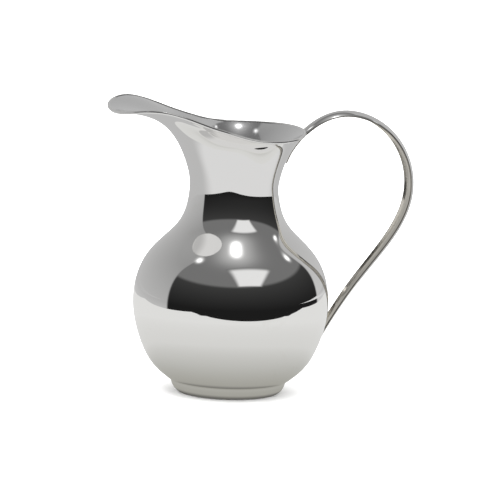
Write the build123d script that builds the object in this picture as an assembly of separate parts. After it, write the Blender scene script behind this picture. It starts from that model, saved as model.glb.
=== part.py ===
from build123d import *
import math
import os

# Silver water pitcher.  Millimetres, +Z up, origin at the centre of the foot on the table.
# The spout points along -X and the handle is at +X, so the plane y = 0 is the plane of symmetry.

# ---- driving dimensions -------------------------------------------------------------------
WALL = 1.2                 # sheet thickness of every raised or spun piece
WIRE_RADIUS = 1.15         # D-shaped wire on the edge of the mouth
WIRE_FLAT = 1.8            # width of the wire's flat side, which is soldered to the edge

# Side profile (radius, height) of the body as the control points of a cubic spline,
# from the foot joint up to the top of the neck.
BODY_CONTROLS = [(43.2, 8.4), (56.7, 17.4), (65.5, 30.0), (77.3, 67.4),
                 (67.2, 105.5), (38.2, 125.5), (33.2, 150.5)]
THROAT_BACK = (32.3, 160.0)      # next control point, on the handle side
THROAT_FRONT = (33.4, 172.5)     # the same control point, under the spout
FLARE_BACK = (13.5, 52.0)        # length, and angle from the vertical, of the flare's last leg
FLARE_FRONT = (43.0, 88.0)       # the same leg along the spout

# Mouth outline: radius and height of the edge, from the tip of the spout round to the back,
# and how much of the front shape each station has.
MOUTH_RADIUS = [98.0, 98.0, 99.0, 87.0, 61.7, 48.2, 55.0, 58.0, 52.0, 52.0]
MOUTH_HEIGHT = [214.0, 214.0, 216.0, 222.0, 208.0, 202.0, 197.0, 196.5, 199.0, 199.0]
FRONT_SHARE = [1.0, 1.0, 0.95, 0.75, 0.45, 0.2, 0.05, 0.0, 0.0, 0.0]
STATION_CROWDING = 0.6           # packs the stations towards the spout

# Bottom of the bowl, inside the foot.
BOTTOM_HEIGHT = 3.4

# Girth seam: the bowl has a lip that slides inside the upper shell.
SEAM_HEIGHT = 69.0
LIP_HEIGHT = 4.0
SOLDER_FILM = 0.1
SOLDER_FILLET = 1.0

# Foot ring: outside of its section (radius, height), from the bowl down to the table.
FOOT_OUTLINE = [(43.4, 8.6), (42.6, 5.9), (41.0, 2.7), (39.0, 0.8)]
FOOT_BORE = [(36.6, 0.0), (39.0, 3.4), (41.4, 8.6)]   # inside of its section, upwards
FOOT_REST_RADIUS = 38.0          # outside of the ring that stands on the table
FOOT_SOLDER = [(41.8, 8.4), (39.2, 8.4), (39.2, 5.6), (41.2, 5.6)]   # corners of its section
FOOT_CUT_HEIGHT = 30.0           # the bowl is cut out of the ring up to this height

# Handle: a strap of gutter section, its crown outwards, along a path (x, z) in the plane y = 0.
HANDLE_CONTROLS = [(37.1, 174.0), (40.2, 185.0), (56.0, 204.2), (84.9, 216.1), (118.3, 205.0),
                   (140.0, 178.7), (144.7, 145.3), (129.4, 113.3), (96.2, 77.1), (76.0, 45.0),
                   (70.2, 34.4)]
STRAP_HALF_WIDTHS = (4.8, 11.6, 6.0)     # control values: at the neck, between, at the belly
STRAP_CROWN = 0.5                        # crown height as a share of the half width
STRAP_WALL = 1.2
TOP_SOLDER = (0.0, 0.035)                # stretch of the path, where the crown lies on the neck
TOP_SOLDER_SHARE = 0.6                   # share of the strap's width that is soldered there
LOWER_SOLDER = (0.965, 1.0)              # stretch where the gutter's edges lie on the belly

# Sampling of the free-form surfaces.
ROWS = 40
COLUMNS = 48
WIRE_STATIONS = 72
STRAP_ROWS = 60
STRAP_COLUMNS = 12
SOLDER_ROWS = 12
WIRE_ARC_STEPS = 20
SECTION_POINTS = 9               # on a long stretch of the body's section
SHORT_SECTION_POINTS = 4         # on the lap of the seam
SKIN_POINTS = 16                 # on the whole outside that the foot is fitted to


WIRE_CENTRE = math.sqrt(WIRE_RADIUS ** 2 - (WIRE_FLAT / 2) ** 2)   # from the sheet's edge
WIRE_REACH = WIRE_CENTRE + WIRE_RADIUS


# ---- curves and surfaces ------------------------------------------------------------------
def spline_point(controls, t):
    """Point at t (0 to 1) on the clamped uniform cubic spline of these control points."""
    spans = len(controls) - 3
    knots = [0.0] * 3 + [k / spans for k in range(spans + 1)] + [1.0] * 3
    span = min(int(t * spans), spans - 1)
    near = [controls[span + j] for j in range(4)]
    for level in (1, 2, 3):
        for j in range(3, level - 1, -1):
            low = knots[span + j]
            share = (t - low) / (knots[span + j + 4 - level] - low)
            near[j] = tuple((1 - share) * a + share * b for a, b in zip(near[j - 1], near[j]))
    return near[3]


def blend(back, front, share):
    """Value between the handle-side and the spout-side shape."""
    return tuple(b + (f - b) * share for b, f in zip(back, front))


def profile_controls(angle):
    """Control points of the wall's profile at this angle round the body (0 at the spout)."""
    station = min(1.0, (abs(angle) + STATION_CROWDING * math.sin(abs(angle))) / math.pi)
    mouth = list(zip(MOUTH_RADIUS, MOUTH_HEIGHT, FRONT_SHARE))
    radius, height, share = spline_point(mouth, station)
    leg, lean = blend(FLARE_BACK, FLARE_FRONT, share)
    out, up = math.sin(math.radians(lean)), math.cos(math.radians(lean))
    return BODY_CONTROLS + [
        blend(THROAT_BACK, THROAT_FRONT, share),
        (radius - leg * out, height - leg * up),
        (radius - WIRE_REACH * out, height - WIRE_REACH * up),
    ]


def wall_point(angle, t):
    """Point on the outside of the wall."""
    radius, height = spline_point(profile_controls(angle), t)
    return Vector(-radius * math.cos(angle), radius * math.sin(angle), height)


def wall_inside(angle, t, depth=WALL):
    """Point below the outside of the wall, square to it."""
    step = 1e-4
    low, high = max(0.0, t - step), min(1.0, t + step)
    along = wall_point(angle, high) - wall_point(angle, low)
    around = wall_point(angle + step, t) - wall_point(angle - step, t)
    return wall_point(angle, t) + around.cross(along).normalized() * depth


def sheet(outside, inside):
    """Solid sheet between two grids of points, closed by ruled strips along its edges."""
    last_row, last_column = len(outside) - 1, len(outside[0]) - 1
    mid_row, mid_column = last_row // 2, last_column // 2
    middles = [(0, mid_column), (last_row, mid_column), (mid_row, 0), (mid_row, last_column)]
    faces = [Face.make_surface_from_array_of_points(grid, tol=2e-3, min_deg=3, max_deg=5)
             for grid in (outside, inside)]
    strips = []
    for row, column in middles:
        sides = [min(face.edges(), key=lambda edge: edge.distance_to(grid[row][column]))
                 for face, grid in zip(faces, (outside, inside))]
        strips.append(Face.make_surface_from_curves(*sides))
    return Solid(Shell(faces + strips))


def both_sides(half):
    """Join a half that ends in the plane of symmetry to its mirror image."""
    return half + mirror(half, Plane.XZ)


def in_symmetry_plane(point):
    """The same point, exactly in the plane of symmetry."""
    return Vector(point.X, 0, point.Z)


def spun(points_and_curves):
    """Body of revolution about Z from a closed outline in the plane y = 0."""
    return revolve(make_face(Wire(points_and_curves)), Axis.Z)


# ---- the pieces ---------------------------------------------------------------------------
def parameter_at(height):
    """Profile parameter where the outside of the body reaches this height, below the neck."""
    low, high = 0.0, 0.5
    for _ in range(40):
        middle = (low + high) / 2
        if wall_point(0, middle).Z < height:
            low = middle
        else:
            high = middle
    return low


SEAM = parameter_at(SEAM_HEIGHT)
LIP_TOP = parameter_at(SEAM_HEIGHT + LIP_HEIGHT)


def section_point(t, depth=0.0):
    """Point of the body's section at +X, at this depth below the outside."""
    point = wall_inside(0, t, depth)
    return (-point.X, 0, point.Z)


def section_curve(start, end, depth=0.0, points=SECTION_POINTS):
    """Part of the body's section as a smooth edge."""
    stops = [start + (end - start) * i / (points - 1) for i in range(points)]
    return Spline([section_point(t, depth) for t in stops])


def bottom_arc(depth=0.0):
    """Arc from the flat of the bowl's bottom up to the foot joint, tangent to both."""
    (r0, z0), (r1, z1) = BODY_CONTROLS[:2]
    slope = math.atan2(z1 - z0, r1 - r0)
    radius = (z0 - BOTTOM_HEIGHT) / (1 - math.cos(slope))
    centre_r, centre_z = r0 - radius * math.sin(slope), BOTTOM_HEIGHT + radius
    reach = radius - depth
    stops = [(centre_r + reach * math.sin(turn), 0, centre_z - reach * math.cos(turn))
             for turn in (0, slope / 2, slope)]
    return ThreePointArc(*stops)


def closed_outline(edges, *corners):
    """Closed wire: the edges in order, with straight lines from each end to the next start."""
    run = []
    for edge, following in zip(edges, edges[1:] + edges[:1]):
        run.append(edge)
        if (edge @ 1 - following @ 0).length > 1e-6:
            run.append(Line(edge @ 1, following @ 0))
    return run


def make_bowl_shell():
    """Lower half of the body, with the lip that the upper half slides over."""
    film = WALL + SOLDER_FILM
    joggle = parameter_at(SEAM_HEIGHT - LIP_HEIGHT)
    inner_lip_foot = section_point(SEAM, WALL + film)
    outside = [Line((0, 0, BOTTOM_HEIGHT), bottom_arc() @ 0), bottom_arc(), section_curve(0, SEAM)]
    lip = [section_curve(SEAM, LIP_TOP, film, SHORT_SECTION_POINTS),
           section_curve(LIP_TOP, SEAM, WALL + film, SHORT_SECTION_POINTS),
           Line(inner_lip_foot, section_point(joggle, WALL))]
    arc_inside = bottom_arc(WALL)
    inside = [section_curve(joggle, 0, WALL),
              ThreePointArc(arc_inside @ 1, arc_inside @ 0.5, arc_inside @ 0),
              Line(arc_inside @ 0, (0, 0, BOTTOM_HEIGHT + WALL))]
    return spun(closed_outline(outside + lip + inside))


def make_girth_solder():
    """Solder that fills the lap of the girth seam, with a fillet on top of the lip."""
    fillet_top = parameter_at(SEAM_HEIGHT + LIP_HEIGHT + SOLDER_FILLET)
    film = WALL + SOLDER_FILM
    edges = [section_curve(SEAM, fillet_top, WALL, SHORT_SECTION_POINTS),
             Line(section_point(fillet_top, WALL), section_point(LIP_TOP, film + SOLDER_FILLET)),
             section_curve(LIP_TOP, SEAM, film, SHORT_SECTION_POINTS)]
    return spun(closed_outline(edges))


def make_neck_shell():
    """Shoulder, neck and flared mouth with its spout, raised from one sheet."""
    levels = [SEAM + (1 - SEAM) * i / (ROWS - 1) for i in range(ROWS)]
    angles = [math.pi * (1 - j / (COLUMNS - 1)) for j in range(COLUMNS)]
    grids = []
    for depth in (0.0, WALL):
        grid = [[wall_inside(angle, t, depth) for angle in angles] for t in levels]
        for row in grid:
            row[0], row[-1] = in_symmetry_plane(row[0]), in_symmetry_plane(row[-1])
        grids.append(grid)
    return both_sides(sheet(*grids))


def wire_point(angle, turn):
    """Point on the round side of the wire, turned this far round it from its outermost line."""
    outer, inner = wall_inside(angle, 1, 0), wall_inside(angle, 1, WALL)
    inward = (inner - outer).normalized()
    onward = (wall_point(angle, 1) - wall_point(angle, 1 - 1e-4)).normalized()
    centre = (outer + inner) / 2 + onward * WIRE_CENTRE
    return centre + (onward * math.cos(turn) + inward * math.sin(turn)) * WIRE_RADIUS


def make_rim_wire():
    """D-shaped wire round the edge of the mouth, its flat side against the edge of the sheet."""
    corner = math.pi - math.asin(WIRE_FLAT / 2 / WIRE_RADIUS)
    angles = [math.pi * j / WIRE_STATIONS for j in range(WIRE_STATIONS + 1)]
    turns = [corner - 2 * corner * k / WIRE_ARC_STEPS for k in range(WIRE_ARC_STEPS + 1)]
    depths = [WALL * (1 - k / WIRE_ARC_STEPS) for k in range(WIRE_ARC_STEPS + 1)]
    round_side = [[wire_point(angle, turn) for turn in turns] for angle in angles]
    flat_side = [[wall_inside(angle, 1, depth) for depth in depths] for angle in angles]
    for grid in (round_side, flat_side):
        grid[0] = [in_symmetry_plane(point) for point in grid[0]]
        grid[-1] = [in_symmetry_plane(point) for point in grid[-1]]
    return both_sides(sheet(round_side, flat_side))


def body_below(height):
    """Everything inside the outside of the body, up to this height."""
    top = parameter_at(height)
    skin = section_curve(0, top, 0, SKIN_POINTS)
    edges = [Line((0, 0, BOTTOM_HEIGHT), bottom_arc() @ 0), bottom_arc(), skin]
    return spun(closed_outline(edges + [Line(skin @ 1, (0, 0, (skin @ 1).Z))]))


def make_foot_ring():
    """Spun ring under the bowl; its top is cut to the bowl's underside."""
    skin = Spline([(r, 0, z) for r, z in FOOT_OUTLINE] + [(FOOT_REST_RADIUS, 0, 0)])
    bore = Spline([(r, 0, z) for r, z in FOOT_BORE])
    return spun(closed_outline([skin, bore])) - body_below(FOOT_CUT_HEIGHT)


def make_foot_solder():
    """Solder fillet inside the foot, between the ring and the underside of the bowl."""
    ring = spun(Polyline([(r, 0, z) for r, z in FOOT_SOLDER], close=True))
    return ring - body_below(FOOT_CUT_HEIGHT) - make_foot_ring()


def strap_frame(t):
    """Centre of the crown and the outward direction of the strap at t along its path."""
    step = 1e-4
    x, z = spline_point(HANDLE_CONTROLS, t)
    x0, z0 = spline_point(HANDLE_CONTROLS, max(0.0, t - step))
    x1, z1 = spline_point(HANDLE_CONTROLS, min(1.0, t + step))
    along = Vector(x1 - x0, 0, z1 - z0).normalized()
    return Vector(x, 0, z), Vector(-along.Z, 0, along.X)


def strap_point(t, across, depth=0.0):
    """Point of the strap: across runs from -1 to 1 over its width, depth goes into the metal."""
    centre, outward = strap_frame(t)
    a, b, c = STRAP_HALF_WIDTHS
    half_width = a * (1 - t) ** 2 + 2 * b * t * (1 - t) + c * t ** 2
    slope = 2 * STRAP_CROWN * across
    lean = math.hypot(1, slope)
    sideways = half_width * across - depth * slope / lean
    sink = STRAP_CROWN * half_width * across ** 2 + depth / lean
    return centre - outward * sink + Vector(0, sideways, 0)


def strap_grid(start, end, depth, lengths, share=1.0):
    """Grid of points on the strap between two places along its path."""
    stops = [start + (end - start) * i / lengths for i in range(lengths + 1)]
    widths = [share * (-1 + 2 * j / STRAP_COLUMNS) for j in range(STRAP_COLUMNS + 1)]
    return [[strap_point(t, across, depth) for across in widths] for t in stops]


def make_handle_strap():
    """Handle strap, from the back of the neck to the belly."""
    return sheet(strap_grid(0, 1, 0, STRAP_ROWS), strap_grid(0, 1, STRAP_WALL, STRAP_ROWS))


def on_body(point):
    """Point on the outside of the body, level with this one and at the same y."""
    angle = math.pi
    for _ in range(4):
        low, high = 0.0, 1.0
        for _ in range(30):
            middle = (low + high) / 2
            if wall_point(angle, middle).Z < point.Z:
                low = middle
            else:
                high = middle
        radius = math.hypot(wall_point(angle, low).X, wall_point(angle, low).Y)
        angle = math.pi - math.asin(point.Y / radius)
    return wall_point(angle, low)


def make_strap_solder(stretch, depth, share):
    """Solder between the body and one side of the strap, over a share of the strap's width."""
    on_strap = strap_grid(*stretch, depth, SOLDER_ROWS, share)
    on_wall = [[on_body(point) for point in row] for row in on_strap]
    return sheet(on_strap, on_wall) if depth else sheet(on_wall, on_strap)


nodes = {
    "bowl_shell": make_bowl_shell(),
    "girth_seam_solder": make_girth_solder(),
    "neck_shell": make_neck_shell(),
    "rim_wire": make_rim_wire(),
    "foot_ring": make_foot_ring(),
    "foot_seam_solder": make_foot_solder(),
    "handle_strap": make_handle_strap(),
    "handle_top_solder": make_strap_solder(TOP_SOLDER, 0.0, TOP_SOLDER_SHARE),
    "handle_lower_solder": make_strap_solder(LOWER_SOLDER, STRAP_WALL, 1.0),
}

os.makedirs("parts", exist_ok=True)
for name, solid in nodes.items():
    export_step(solid, f"parts/{name}.step")
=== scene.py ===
import math

import bmesh
import bpy
import numpy as np
from mathutils import Matrix, Vector


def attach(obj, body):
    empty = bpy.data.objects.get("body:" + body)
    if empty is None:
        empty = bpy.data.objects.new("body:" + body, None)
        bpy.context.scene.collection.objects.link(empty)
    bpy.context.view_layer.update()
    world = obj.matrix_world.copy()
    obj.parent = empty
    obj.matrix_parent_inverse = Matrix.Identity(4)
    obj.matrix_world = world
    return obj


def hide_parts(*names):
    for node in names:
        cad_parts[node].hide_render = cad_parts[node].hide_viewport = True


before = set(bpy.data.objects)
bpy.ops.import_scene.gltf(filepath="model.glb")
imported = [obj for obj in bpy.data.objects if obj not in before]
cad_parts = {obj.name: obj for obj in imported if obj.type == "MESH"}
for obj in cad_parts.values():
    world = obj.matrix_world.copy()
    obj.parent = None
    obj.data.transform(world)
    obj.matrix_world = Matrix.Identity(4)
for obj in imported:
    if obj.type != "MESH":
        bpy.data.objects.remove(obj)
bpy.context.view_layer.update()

# ---- driving dimensions, in millimetres ----------------------------------------------------
MM = 0.001
WALL = 1.2
WIRE_RADIUS = 1.15
WIRE_FLAT = 1.8
BODY_CONTROLS = [(43.2, 8.4), (56.7, 17.4), (65.5, 30.0), (77.3, 67.4),
                 (67.2, 105.5), (38.2, 125.5), (33.2, 150.5)]
THROAT_BACK = (32.3, 160.0)
THROAT_FRONT = (33.4, 172.5)
FLARE_BACK = (13.5, 52.0)
FLARE_FRONT = (43.0, 88.0)
MOUTH_RADIUS = [98.0, 98.0, 99.0, 87.0, 61.7, 48.2, 55.0, 58.0, 52.0, 52.0]
MOUTH_HEIGHT = [214.0, 214.0, 216.0, 222.0, 208.0, 202.0, 197.0, 196.5, 199.0, 199.0]
FRONT_SHARE = [1.0, 1.0, 0.95, 0.75, 0.45, 0.2, 0.05, 0.0, 0.0, 0.0]
STATION_CROWDING = 0.6
BOTTOM_HEIGHT = 3.4
SEAM_HEIGHT = 69.0
LIP_HEIGHT = 4.0
LIP_FILM = 0.1
FOOT_SKIN = [(43.4, 8.6), (42.6, 5.9), (41.0, 2.7), (39.0, 0.8), (38.0, 0.0)]
FOOT_BORE = [(36.6, 0.0), (39.0, 3.4), (41.2, 7.7)]
HANDLE_CONTROLS = [(37.1, 174.0), (40.2, 185.0), (56.0, 204.2), (84.9, 216.1), (118.3, 205.0),
                   (140.0, 178.7), (144.7, 145.3), (129.4, 113.3), (96.2, 77.1), (76.0, 45.0),
                   (70.2, 34.4)]
STRAP_HALF_WIDTHS = (4.8, 11.6, 6.0)
STRAP_CROWN = 0.5
STRAP_WALL = 1.2

NECK_ROWS = 150
NECK_COLUMNS = 320
BODY_ROWS = 120
BODY_COLUMNS = 288
STRAP_ROWS = 420
STRAP_COLUMNS = 28
EDGE_STEPS = 7
WIRE_COLUMNS = 512
WIRE_ARC_STEPS = 32
FOOT_STEPS = 10
FLAT_RINGS = 12                  # on the flat of the bowl's bottom
ARC_RINGS = 24                   # on the curve beside it
LIP_RINGS = 6
STEP = 1e-4


# ---- curves and surfaces -------------------------------------------------------------------
def spline_point(controls, t):
    """Point at t (0 to 1) on the clamped uniform cubic spline of these control points."""
    spans = len(controls) - 3
    knots = [0.0] * 3 + [k / spans for k in range(spans + 1)] + [1.0] * 3
    span = min(int(t * spans), spans - 1)
    near = [np.asarray(controls[span + j], dtype=float) for j in range(4)]
    for level in (1, 2, 3):
        for j in range(3, level - 1, -1):
            low = knots[span + j]
            share = (t - low) / (knots[span + j + 4 - level] - low)
            near[j] = (1 - share) * near[j - 1] + share * near[j]
    return near[3]


def basis(stops, count):
    """Weight of each of count control points at each stop."""
    return np.array([spline_point(np.eye(count), t) for t in stops])


def blend(back, front, share):
    back, front = np.asarray(back), np.asarray(front)
    return back + (front - back) * share[:, None]


def profile_controls(angles):
    """Control points of the wall's profile at each angle round the body (0 at the spout)."""
    turn = np.abs(angles)
    station = np.minimum(1.0, (turn + STATION_CROWDING * np.sin(turn)) / math.pi)
    mouth = basis(station, len(MOUTH_RADIUS)) @ np.array([MOUTH_RADIUS, MOUTH_HEIGHT, FRONT_SHARE]).T
    edge, share = mouth[:, :2], mouth[:, 2]
    leg, lean = blend(FLARE_BACK, FLARE_FRONT, share).T
    lean = np.radians(lean)
    onward = np.stack([np.sin(lean), np.cos(lean)], axis=1)
    reach = math.sqrt(WIRE_RADIUS ** 2 - (WIRE_FLAT / 2) ** 2) + WIRE_RADIUS
    body = np.broadcast_to(np.array(BODY_CONTROLS), (len(turn), len(BODY_CONTROLS), 2))
    upper = np.stack([blend(THROAT_BACK, THROAT_FRONT, share),
                      edge - leg[:, None] * onward,
                      edge - reach * onward], axis=1)
    return np.concatenate([body, upper], axis=1)


def wall_points(angles, stops):
    """Grid of points on the outside of the wall, one row for each stop."""
    controls = profile_controls(angles)
    weights = basis(stops, controls.shape[1])
    radius = weights @ controls[:, :, 0].T
    height = weights @ controls[:, :, 1].T
    return np.stack([-radius * np.cos(angles), radius * np.sin(angles), height], axis=2)


def unit(vectors):
    return vectors / np.linalg.norm(vectors, axis=-1, keepdims=True)


def wall_normals(angles, stops):
    """Grid of directions square to the wall, into the metal."""
    stops = np.asarray(stops)
    high, low = np.minimum(1, stops + STEP), np.maximum(0, stops - STEP)
    along = wall_points(angles, high) - wall_points(angles, low)
    around = wall_points(angles + STEP, stops) - wall_points(angles - STEP, stops)
    return unit(np.cross(around, along))


def parameter_at(height):
    """Profile parameter where the outside of the body reaches this height, below the neck."""
    low, high = 0.0, 0.5
    for _ in range(40):
        middle = (low + high) / 2
        if wall_points(np.zeros(1), [middle])[0, 0, 2] < height:
            low = middle
        else:
            high = middle
    return low


SEAM = parameter_at(SEAM_HEIGHT)


def section(start, end, depth, count):
    """(radius, height) points of the body's section at this depth below the outside."""
    stops = np.linspace(start, end, count)
    points = wall_points(np.zeros(1), stops) + depth * wall_normals(np.zeros(1), stops)
    return np.stack([-points[:, 0, 0], points[:, 0, 2]], axis=1)


def smooth_run(points, count):
    """Points on a Catmull-Rom curve through these points."""
    points = np.asarray(points, dtype=float)
    ends = np.concatenate([[2 * points[0] - points[1]], points, [2 * points[-1] - points[-2]]])
    run = []
    for i in range(len(points) - 1):
        a, b, c, d = ends[i:i + 4]
        for t in np.linspace(0, 1, count, endpoint=False):
            run.append(0.5 * (2 * b + (c - a) * t + (2 * a - 5 * b + 4 * c - d) * t ** 2
                              + (3 * b - a - 3 * c + d) * t ** 3))
    return np.array(run + [points[-1]])


# ---- meshes --------------------------------------------------------------------------------
def make_object(name, verts, faces, closed=False, sharp=math.radians(40)):
    """Smooth-shaded mesh object from millimetre points."""
    mesh = bpy.data.meshes.new(name)
    mesh.from_pydata((np.asarray(verts) * MM).tolist(), [], [list(face) for face in faces])
    mesh.validate()
    shape = bmesh.new()
    shape.from_mesh(mesh)
    if closed:
        bmesh.ops.recalc_face_normals(shape, faces=shape.faces)
    shape.to_mesh(mesh)
    shape.free()
    mesh.polygons.foreach_set("use_smooth", [True] * len(mesh.polygons))
    mesh.set_sharp_from_angle(angle=sharp)
    obj = bpy.data.objects.new(name, mesh)
    bpy.context.scene.collection.objects.link(obj)
    return obj


def grid_faces(rows, columns, wrap_rows, wrap_columns):
    """Quads of a grid whose vertices run row by row."""
    faces = []
    for i in range(rows if wrap_rows else rows - 1):
        low, high = i * columns, (i + 1) % rows * columns
        for j in range(columns if wrap_columns else columns - 1):
            after = (j + 1) % columns
            faces.append((low + j, low + after, high + after, high + j))
    return faces


def lathe(name, outline, columns, closed):
    """Body of revolution about Z. An open outline starts and ends on the axis."""
    angles = np.arange(columns) * 2 * math.pi / columns
    ring = outline if closed else outline[1:-1]
    radius, height = ring[:, :1], ring[:, 1:]
    grid = np.stack([radius * np.cos(angles), radius * np.sin(angles),
                     np.broadcast_to(height, (len(ring), columns))], axis=2)
    verts = grid.reshape(-1, 3)
    faces = grid_faces(len(ring), columns, closed, True)
    if not closed:
        start, end = len(verts), len(verts) + 1
        verts = np.concatenate([verts, [(0, 0, outline[0, 1]), (0, 0, outline[-1, 1])]])
        last = (len(ring) - 1) * columns
        for j in range(columns):
            after = (j + 1) % columns
            faces.append((start, after, j))
            faces.append((last + j, last + after, end))
    return make_object(name, verts, faces, True)


def make_bowl():
    (r0, z0), (r1, z1) = BODY_CONTROLS[:2]
    slope = math.atan2(z1 - z0, r1 - r0)
    radius = (z0 - BOTTOM_HEIGHT) / (1 - math.cos(slope))
    turns = np.linspace(0, slope, ARC_RINGS)[:, None]
    centre = np.array([r0 - radius * math.sin(slope), BOTTOM_HEIGHT + radius])

    def arc(depth):
        return centre + (radius - depth) * np.concatenate([np.sin(turns), -np.cos(turns)], axis=1)

    def flat(height, outer):
        return np.array([(outer * i / FLAT_RINGS, height) for i in range(FLAT_RINGS)])

    film = WALL + LIP_FILM
    lip_top = parameter_at(SEAM_HEIGHT + LIP_HEIGHT)
    joggle = parameter_at(SEAM_HEIGHT - LIP_HEIGHT)
    outline = np.concatenate([
        flat(BOTTOM_HEIGHT, centre[0]), arc(0)[:-1],
        section(0, SEAM, 0, BODY_ROWS),
        section(SEAM, lip_top, film, LIP_RINGS),
        section(lip_top, SEAM, WALL + film, LIP_RINGS),
        section(joggle, 0, WALL, BODY_ROWS),
        arc(WALL)[-2::-1], flat(BOTTOM_HEIGHT + WALL, centre[0])[::-1],
    ])
    bowl = lathe("silver_bowl", outline, BODY_COLUMNS, False)
    outer_rings = FLAT_RINGS + ARC_RINGS - 1 + BODY_ROWS
    first = (outer_rings - 2) * BODY_COLUMNS
    finish = [0] * len(bowl.data.polygons)
    last = (len(outline) - 3) * BODY_COLUMNS
    finish[first:last] = [1] * (last - first)
    finish[last + 1::2] = [1] * BODY_COLUMNS
    bowl.data.polygons.foreach_set("material_index", finish)
    return bowl


def make_neck():
    angles = np.arange(NECK_COLUMNS) * 2 * math.pi / NECK_COLUMNS - math.pi
    stops = np.linspace(SEAM, 1, NECK_ROWS)
    outside = wall_points(angles, stops)
    inside = outside + WALL * wall_normals(angles, stops)
    verts = np.concatenate([outside, inside[::-1]]).reshape(-1, 3)
    faces = grid_faces(2 * NECK_ROWS, NECK_COLUMNS, True, True)
    neck = make_object("silver_neck", verts, faces, True)
    inner = [0] * len(faces)
    first = NECK_ROWS * NECK_COLUMNS
    last = (2 * NECK_ROWS - 1) * NECK_COLUMNS
    inner[first:last] = [1] * (last - first)
    neck.data.polygons.foreach_set("material_index", inner)
    return neck


def make_wire():
    angles = np.arange(WIRE_COLUMNS) * 2 * math.pi / WIRE_COLUMNS - math.pi
    outer = wall_points(angles, [1.0])[0]
    inward = wall_normals(angles, [1.0])[0]
    onward = unit(outer - wall_points(angles, [1 - STEP])[0])
    centre = outer + inward * WALL / 2 + onward * math.sqrt(WIRE_RADIUS ** 2 - (WIRE_FLAT / 2) ** 2)
    corner = math.pi - math.asin(WIRE_FLAT / 2 / WIRE_RADIUS)
    rows = [centre + (onward * math.cos(turn) + inward * math.sin(turn)) * WIRE_RADIUS
            for turn in np.linspace(-corner, corner, WIRE_ARC_STEPS + 1)]
    return make_object("rim_bead", np.concatenate(rows),
                       grid_faces(len(rows), WIRE_COLUMNS, True, True), True)


def make_foot():
    outline = np.concatenate([smooth_run(FOOT_SKIN, FOOT_STEPS), smooth_run(FOOT_BORE, FOOT_STEPS)])
    return lathe("foot_rim", outline, BODY_COLUMNS, True)


def strap_section(t):
    """Closed section of the strap: crown, rounded edge, gutter, rounded edge."""
    centre, outward = strap_frame(t)
    a, b, c = STRAP_HALF_WIDTHS
    half_width = a * (1 - t) ** 2 + 2 * b * t * (1 - t) + c * t ** 2
    round_off = STRAP_WALL / 2
    edge = 1 - round_off / half_width
    spread = np.linspace(-edge, edge, STRAP_COLUMNS)

    def at(across, depth):
        slope = 2 * STRAP_CROWN * across
        lean = math.hypot(1, slope)
        sideways = half_width * across - depth * slope / lean
        sink = STRAP_CROWN * half_width * across ** 2 + depth / lean
        return centre - outward * sink + np.array([0, sideways, 0])

    def end(across, turns):
        middle = at(across, round_off)
        up = unit(at(across, 0) - middle)
        out = unit(np.cross(up, np.cross(outward, [0, 1, 0])))
        out = out if out[1] * across > 0 else -out
        return [middle + round_off * (up * math.cos(turn) + out * math.sin(turn)) for turn in turns]

    turns = np.linspace(0, math.pi, EDGE_STEPS + 2)[1:-1]
    return np.array([at(x, 0) for x in spread] + end(edge, turns)
                    + [at(x, STRAP_WALL) for x in spread[::-1]] + end(-edge, turns[::-1]))


def strap_frame(t):
    low = spline_point(HANDLE_CONTROLS, max(0.0, t - STEP))
    high = spline_point(HANDLE_CONTROLS, min(1.0, t + STEP))
    x, z = spline_point(HANDLE_CONTROLS, t)
    along = unit(high - low)
    return np.array([x, 0, z]), np.array([-along[1], 0, along[0]])


def make_strap():
    rings = [strap_section(t) for t in np.linspace(0, 1, STRAP_ROWS)]
    count = len(rings[0])
    faces = grid_faces(len(rings), count, False, True)
    crown, edge = STRAP_COLUMNS, EDGE_STEPS
    # The rounded edges and the end caps (2) take the painted dark reflection.
    parts = [0] * (crown - 1) + [2] * (edge + 1) + [1] * (crown - 1) + [2] * (edge + 1)
    finish = parts * (len(rings) - 1)
    last = (len(rings) - 1) * count
    gutter = crown + edge
    for j in range(crown - 1):
        quad = (j, gutter + crown - 1 - j, gutter + crown - 2 - j, j + 1)
        faces += [quad, tuple(last + k for k in quad[::-1])]
        finish += [2, 2]
    for side in (list(range(crown - 1, gutter + 1)), list(range(gutter + crown - 1, count)) + [0]):
        faces += [tuple(side), tuple(last + k for k in side[::-1])]
        finish += [2, 2]
    strap = make_object("handle_band", np.concatenate(rings), faces, True)
    strap.data.polygons.foreach_set("material_index", finish)
    return strap


# ---- materials -----------------------------------------------------------------------------
def new_material(name):
    material = bpy.data.materials.new(name)
    material.use_nodes = True
    nodes = material.node_tree.nodes
    nodes.clear()
    return material, nodes, material.node_tree.links


def mapped_noise(nodes, links, scale, detail, roughness, stretch=(1, 1, 1)):
    """Noise in the object's own space; scale is in features per metre."""
    coords = nodes.new("ShaderNodeTexCoord")
    mapping = nodes.new("ShaderNodeMapping")
    mapping.inputs["Scale"].default_value = stretch
    noise = nodes.new("ShaderNodeTexNoise")
    noise.inputs["Scale"].default_value = scale
    noise.inputs["Detail"].default_value = detail
    noise.inputs["Roughness"].default_value = roughness
    links.new(coords.outputs["Object"], mapping.inputs["Vector"])
    links.new(mapping.outputs["Vector"], noise.inputs["Vector"])
    return noise.outputs["Fac"]


def ramp(nodes, links, source, stops):
    """Colour ramp of (position, colour) stops."""
    node = nodes.new("ShaderNodeValToRGB")
    band = node.color_ramp
    while len(band.elements) < len(stops):
        band.elements.new(0.5)
    for element, (position, colour) in zip(band.elements, stops):
        element.position = position
        element.color = (*colour, 1)
    links.new(source, node.inputs["Fac"])
    return node.outputs["Color"]


def bump(nodes, links, height, distance, under=None):
    node = nodes.new("ShaderNodeBump")
    node.inputs["Strength"].default_value = 1.0
    node.inputs["Distance"].default_value = distance
    links.new(height, node.inputs["Height"])
    if under:
        links.new(under, node.inputs["Normal"])
    return node.outputs["Normal"]


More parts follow.
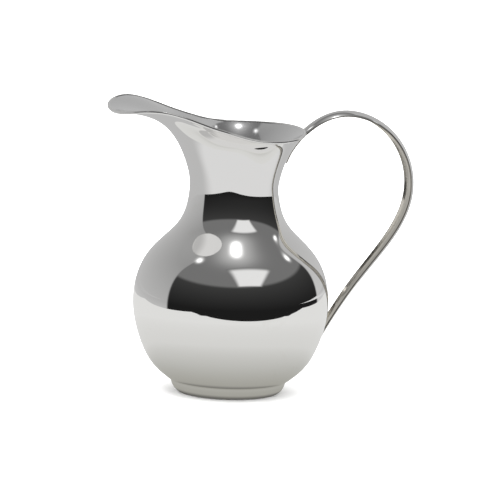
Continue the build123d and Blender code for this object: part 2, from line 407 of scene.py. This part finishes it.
# Noises of the silver: scale, detail, roughness, and the stretch of the hairlines.
TARNISH = (22, 5, 0.6)
HAIRLINES = (900, 3, 0.7, (1, 1, 0.12))
HANDLING = (60, 6, 0.65)
WAVES = (38, 1, 0.4)
TARNISH_STOPS = (0.3, 0.62, 0.85)    # noise up to which the silver is bright, and where it is dull
HAZE = (0.15, 0.45)                  # range of hairlines times handling, from clear to hazy


def silver(name, bright, dull, low, high, wave=2e-5, scratch=3e-7):
    """Polished or satin silver: slight tarnish, haze from handling, hand-worked waves, hairlines."""
    material, nodes, links = new_material(name)
    shader = nodes.new("ShaderNodeBsdfPrincipled")
    shader.inputs["Metallic"].default_value = 1.0
    output = nodes.new("ShaderNodeOutputMaterial")
    links.new(shader.outputs["BSDF"], output.inputs["Surface"])
    tarnish = mapped_noise(nodes, links, *TARNISH)
    tones = list(zip(TARNISH_STOPS, (bright, bright, dull)))
    links.new(ramp(nodes, links, tarnish, tones), shader.inputs["Base Color"])
    hairlines = mapped_noise(nodes, links, *HAIRLINES)
    handling = mapped_noise(nodes, links, *HANDLING)
    rubbed = nodes.new("ShaderNodeMath")
    rubbed.operation = "MULTIPLY"
    links.new(hairlines, rubbed.inputs[0])
    links.new(handling, rubbed.inputs[1])
    spread = nodes.new("ShaderNodeMapRange")
    spread.inputs["From Min"].default_value = HAZE[0]
    spread.inputs["From Max"].default_value = HAZE[1]
    spread.inputs["To Min"].default_value = low
    spread.inputs["To Max"].default_value = high
    links.new(rubbed.outputs[0], spread.inputs["Value"])
    links.new(spread.outputs["Result"], shader.inputs["Roughness"])
    waves = mapped_noise(nodes, links, *WAVES)
    normal = bump(nodes, links, waves, wave)
    links.new(bump(nodes, links, hairlines, scratch, normal), shader.inputs["Normal"])
    return material


BRIGHT = (0.95, 0.945, 0.935)
DULL = (0.86, 0.84, 0.80)
polished = silver("polished_silver", BRIGHT, DULL, 0.010, 0.060)
satin = silver("satin_silver", (0.90, 0.90, 0.90), (0.82, 0.81, 0.79), 0.09, 0.21,
               wave=1.5e-6, scratch=1e-6)
inner_satin = silver("inner_satin", (0.86, 0.85, 0.83), (0.74, 0.72, 0.68), 0.26, 0.42,
                     wave=4e-6, scratch=3e-6)
foot_silver = silver("polished_silver_foot", BRIGHT, DULL, 0.02, 0.09, scratch=6e-7)
band_silver = silver("polished_silver_handle", BRIGHT, DULL, 0.015, 0.07, wave=8e-6)
gutter_silver = silver("gutter_silver", (0.84, 0.81, 0.74), (0.60, 0.55, 0.46), 0.10, 0.28,
                       scratch=2e-6)
# Painted reflection: the strap's rounded edges are coloured dark to stand in for the dark they
# mirror; the silver there is not tarnished.
painted_reflection_edge = silver("edge_painted_dark_reflection", (0.34, 0.32, 0.29), (0.20, 0.18, 0.16), 0.12, 0.30,
                     scratch=1e-6)
bead_silver = silver("polished_silver_wire", BRIGHT, DULL, 0.09, 0.24, wave=5e-6)
solder = silver("silver_solder", (0.84, 0.83, 0.80), (0.66, 0.63, 0.58), 0.25, 0.5, scratch=5e-6)

# ---- the object ----------------------------------------------------------------------------
PIECES = [
    (make_bowl, "bowl_shell", "polished_silver", [polished, inner_satin]),
    (make_neck, "neck_shell", "polished_silver_neck", [polished, satin]),
    (make_wire, "rim_wire", "polished_silver_wire", [bead_silver]),
    (make_foot, "foot_ring", "polished_silver_foot", [foot_silver]),
    (make_strap, "handle_strap", "polished_silver_handle",
     [band_silver, gutter_silver, painted_reflection_edge]),
]
for make, node, slot, materials in PIECES:
    piece = make()
    for material in materials:
        piece.data.materials.append(material)
    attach(piece, "root")
    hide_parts(node)

for node in ("girth_seam_solder", "foot_seam_solder", "handle_top_solder", "handle_lower_solder"):
    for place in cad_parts[node].material_slots:
        place.material = solder

# ---- plain studio that the silver mirrors --------------------------------------------------
# Colourless cards and soft lights only: a dark card in front, pale tent sides, a grey ceiling.
# Their edges and places follow where light and dark change in the photograph's reflections.
SURROUND_RADIUS = 12.0
SURROUND_HEIGHT = 0.08
TABLE_LOW = (-0.6, -0.32)
TABLE_HIGH = (1.0, 0.6)
FLOOR_REACH = 14.0
FLOOR_GAP = 0.0002               # the floor that the camera sees lies this far under the table top
SHEET_HEIGHT = 0.077
SHEET_RADII = (0.105, 1.3)
SHEET_GLOW = (0.50, 0.71)        # at the sides and back, and in front
SHEET_FRONT = (-85, 95)          # bearings of the brighter front, in degrees
SOFTBOX_HEIGHT = 3.0
SOFTBOX_REACH = (1.5, 5.0)       # how far in front of the pitcher it starts and ends
SOFTBOX_SIDES = (-0.9, 2.1)
SOFTBOX_FADE = 0.45
SOFTBOX_GLOW = 0.62
SOFTBOX_CELLS = 24
GLOSSY_ONLY = ("camera", "diffuse", "transmission", "volume_scatter", "shadow")

# Bearings (0 is -Y, 90 is +X) and heights in degrees. Brightness is given at the heights in
# CARD_LEVELS.
CARD_LEVELS = (-22, -2, 45)
CARD_BOTTOM = -60
FRONT_CARD = (-98, 105)          # bearings of the dark card
FRONT_TOP = 30
FRONT_SOFTNESS = 5.0
FRONT_LIGHT = (0.012, 0.012, 0.060)
TENT = (105, 262)                # bearings of the pale tent, from the right round to the left
TENT_TOP = 62
TENT_SOFTNESS = 3.0
TENT_LIGHT_RIGHT = (0.74, 0.58, 0.46)
TENT_LIGHT_LEFT = (0.70, 0.44, 0.30)
CEILING_GREY = 0.17
# Round soft lights: bearing, height, half size, brightness.
SOFT_LIGHTS = [(10, 83, 4.0, 3.5), (10, 83, 16.0, 0.4), (98, 43, 2.5, 1.6), (-95, 60, 3.0, 1.6)]


def hide_from(obj, rays):
    for ray in rays:
        setattr(obj, "visible_" + ray, False)


def between(values, limits, softness):
    """1 inside the limits, 0 outside, with smooth edges."""
    rise = np.clip((values - limits[0]) / softness + 0.5, 0, 1)
    fall = np.clip((limits[1] - values) / softness + 0.5, 0, 1)
    share = rise * fall
    return share * share * (3 - 2 * share)


def surround_light(bearing, height):
    """Brightness of the studio in each direction."""
    light = np.full(bearing.shape, CEILING_GREY)
    round_back = bearing % 360
    right = np.interp(height, CARD_LEVELS, TENT_LIGHT_RIGHT)
    left = np.interp(height, CARD_LEVELS, TENT_LIGHT_LEFT)
    tent = right + (left - right) * np.clip((round_back - TENT[0]) / (TENT[1] - TENT[0]), 0, 1)
    front = np.interp(height, CARD_LEVELS, FRONT_LIGHT)
    light += (front - light) * (between(bearing, FRONT_CARD, FRONT_SOFTNESS)
                                * between(height, (CARD_BOTTOM, FRONT_TOP), FRONT_SOFTNESS))
    light += (tent - light) * (between(round_back, TENT, TENT_SOFTNESS)
                               * between(height, (CARD_BOTTOM, TENT_TOP), TENT_SOFTNESS))
    for lamp_bearing, lamp_height, size, brightness in SOFT_LIGHTS:
        turn, lift = np.radians(bearing - lamp_bearing), np.radians(height)
        middle = math.radians(lamp_height)
        facing = np.sin(lift) * math.sin(middle) + np.cos(lift) * math.cos(middle) * np.cos(turn)
        apart = np.degrees(np.arccos(np.clip(facing, -1, 1)))
        light += brightness * np.exp(-(apart / size) ** 2)
    return light


def emission(name, one_sided):
    """Glow of the mesh's own brightness."""
    material, nodes, links = new_material(name)
    glow = nodes.new("ShaderNodeEmission")
    output = nodes.new("ShaderNodeOutputMaterial")
    own = nodes.new("ShaderNodeVertexColor")
    own.layer_name = "glow"
    links.new(own.outputs["Color"], glow.inputs["Color"])
    shown = glow.outputs[0]
    if one_sided:
        clear = nodes.new("ShaderNodeBsdfTransparent")
        mix = nodes.new("ShaderNodeMixShader")
        facing = nodes.new("ShaderNodeNewGeometry")
        links.new(facing.outputs["Backfacing"], mix.inputs["Fac"])
        links.new(glow.outputs[0], mix.inputs[1])
        links.new(clear.outputs[0], mix.inputs[2])
        shown = mix.outputs[0]
    links.new(shown, output.inputs["Surface"])
    return material


def paint_glow(obj, light, one_sided=False):
    """Gives each vertex its own neutral brightness."""
    layer = obj.data.color_attributes.new("glow", "FLOAT_COLOR", "POINT")
    colours = np.ones((light.size, 4))
    colours[:, :3] = light.reshape(-1, 1)
    layer.data.foreach_set("color", colours.ravel())
    obj.data.materials.append(emission(obj.name + "_glow", one_sided))


def make_surround():
    bearings = np.arange(-180, 180, 0.5)
    heights = np.linspace(-89.5, 89.5, 359)
    bearing, height = np.meshgrid(bearings, heights)
    turn, lift = np.radians(bearing), np.radians(height)
    radius = SURROUND_RADIUS / MM
    grid = np.stack([radius * np.sin(turn) * np.cos(lift),
                     -radius * np.cos(turn) * np.cos(lift),
                     radius * np.sin(lift) + SURROUND_HEIGHT / MM], axis=2)
    surround = make_object("surround", grid.reshape(-1, 3),
                           grid_faces(len(heights), len(bearings), False, True))
    paint_glow(surround, surround_light(bearing, height))
    return surround


def make_sheet():
    """White sheet round the pitcher that only the upper half of the body looks down on."""
    bearings = np.arange(-180, 180, 3)
    turns = np.radians(bearings)
    rings = [(radius / MM * math.sin(turn), -radius / MM * math.cos(turn), SHEET_HEIGHT / MM)
             for radius in SHEET_RADII for turn in turns]
    sheet = make_object("white_sheet", rings,
                        [face[::-1] for face in grid_faces(2, len(turns), False, True)])
    side, front = SHEET_GLOW
    light = side + (front - side) * between(bearings, SHEET_FRONT, 40)
    paint_glow(sheet, np.tile(light, 2), one_sided=True)
    return sheet


def make_softbox():
    """Broad overhead softbox in front of the pitcher, fading out towards its edges."""
    across = np.linspace(*SOFTBOX_SIDES, SOFTBOX_CELLS)
    ahead = np.linspace(*SOFTBOX_REACH, SOFTBOX_CELLS)
    x, y = np.meshgrid(across, ahead)
    grid = np.stack([x, -y, np.full(x.shape, SOFTBOX_HEIGHT)], axis=2) / MM
    box = make_object("overhead_softbox", grid.reshape(-1, 3),
                      grid_faces(SOFTBOX_CELLS, SOFTBOX_CELLS, False, False))
    margin = SOFTBOX_FADE / 2
    fade = (between(x, (across[0] + margin, across[-1] - margin), SOFTBOX_FADE)
            * between(y, (ahead[0] + margin, ahead[-1] - margin), SOFTBOX_FADE))
    paint_glow(box, CEILING_GREY + SOFTBOX_GLOW * fade)
    return box


# Pale table top: distance from the pitcher's axis in metres, and colour.
TABLE_TONES = [(0.037, (0.04, 0.04, 0.04)), (0.043, (0.38, 0.375, 0.34)),
               (0.075, (0.50, 0.50, 0.475)), (0.12, (0.68, 0.68, 0.665)),
               (0.26, (0.76, 0.76, 0.75))]
PAPER_GRAIN = (40, 6, 0.6)       # noise scale, detail, roughness
PAPER_TONES = [(0.3, (0.93, 0.93, 0.93)), (0.7, (0.95, 0.95, 0.95))]


def table_glow():
    """Pale table top as the silver sees it, dimmer round the foot where the pitcher shades it."""
    material, nodes, links = new_material("table_glow")
    coords = nodes.new("ShaderNodeTexCoord")
    reach = nodes.new("ShaderNodeVectorMath")
    reach.operation = "LENGTH"
    links.new(coords.outputs["Object"], reach.inputs[0])
    shade = ramp(nodes, links, reach.outputs["Value"], TABLE_TONES)
    glow = nodes.new("ShaderNodeEmission")
    links.new(shade, glow.inputs["Color"])
    links.new(glow.outputs[0], nodes.new("ShaderNodeOutputMaterial").inputs["Surface"])
    return material


def make_floor(name, low, high, material):
    (x0, y0), (x1, y1) = low, high
    corners = [(x0, y0, 0), (x1, y0, 0), (x1, y1, 0), (x0, y1, 0)]
    floor = make_object(name, np.array(corners) / MM, [(0, 1, 2, 3)])
    floor.data.materials.append(material)
    return floor


floor_paper, paper_nodes, paper_links = new_material("floor_paper")
paper = paper_nodes.new("ShaderNodeBsdfDiffuse")
grain = mapped_noise(paper_nodes, paper_links, *PAPER_GRAIN)
paper_links.new(ramp(paper_nodes, paper_links, grain, PAPER_TONES), paper.inputs["Color"])
paper_links.new(paper.outputs[0], paper_nodes.new("ShaderNodeOutputMaterial").inputs["Surface"])

mirrored = [make_surround(), make_softbox(), make_sheet(),
            make_floor("table_top", TABLE_LOW, TABLE_HIGH, table_glow())]
for card in mirrored:
    hide_from(card, GLOSSY_ONLY)
backdrop = make_floor("backdrop_floor", (-FLOOR_REACH,) * 2, (FLOOR_REACH,) * 2, floor_paper)
backdrop.location.z = -FLOOR_GAP
hide_from(backdrop, ("glossy",))

WORLD_STRENGTH = 2.2
LAMP_SIZE = 2.2
LAMP_POWER = 28
LAMP_PLACE = (-0.4, -0.6, 2.2)

world = bpy.data.worlds.new("studio")
world.use_nodes = True
world.node_tree.nodes["Background"].inputs["Color"].default_value = (1, 1, 1, 1)
world.node_tree.nodes["Background"].inputs["Strength"].default_value = WORLD_STRENGTH
bpy.context.scene.world = world

softbox = bpy.data.lights.new("softbox", "AREA")
softbox.shape = "DISK"
softbox.size = LAMP_SIZE
softbox.energy = LAMP_POWER
softbox_object = bpy.data.objects.new("softbox", softbox)
softbox_object.location = LAMP_PLACE
softbox_object.rotation_euler = Vector(softbox_object.location).to_track_quat("Z", "Y").to_euler()
softbox_object.visible_glossy = False
bpy.context.scene.collection.objects.link(softbox_object)

# ---- camera --------------------------------------------------------------------------------
LOOK_AT = Vector((0, 0, 0.1))
DISTANCE = 6.0
CAMERA_BEARING = math.radians(-18.25)
CAMERA_HEIGHT = math.radians(9.62)
CAMERA_ROLL = math.radians(1.91)
LENS = 598.95                    # with the sensor's width, in millimetres
SENSOR_WIDTH = 36
FRAME = 480                      # width of the picture
FRAME_SHIFT = (8.0, 19.67)       # to the right and up, on that width
CLIP_END = 60

camera = bpy.data.cameras.new("camera")
camera.lens = LENS
camera.sensor_width = SENSOR_WIDTH
camera.shift_x = FRAME_SHIFT[0] / FRAME
camera.shift_y = FRAME_SHIFT[1] / FRAME
camera.clip_end = CLIP_END
camera_object = bpy.data.objects.new("camera", camera)
back = Vector((math.sin(CAMERA_BEARING) * math.cos(CAMERA_HEIGHT),
               -math.cos(CAMERA_BEARING) * math.cos(CAMERA_HEIGHT), math.sin(CAMERA_HEIGHT)))
turned = back.to_track_quat("Z", "Y").to_matrix() @ Matrix.Rotation(CAMERA_ROLL, 3, "Z")
camera_object.location = LOOK_AT + DISTANCE * back
camera_object.rotation_euler = turned.to_euler()
bpy.context.scene.collection.objects.link(camera_object)
bpy.context.scene.camera = camera_object
bpy.context.scene.view_settings.view_transform = "Standard"
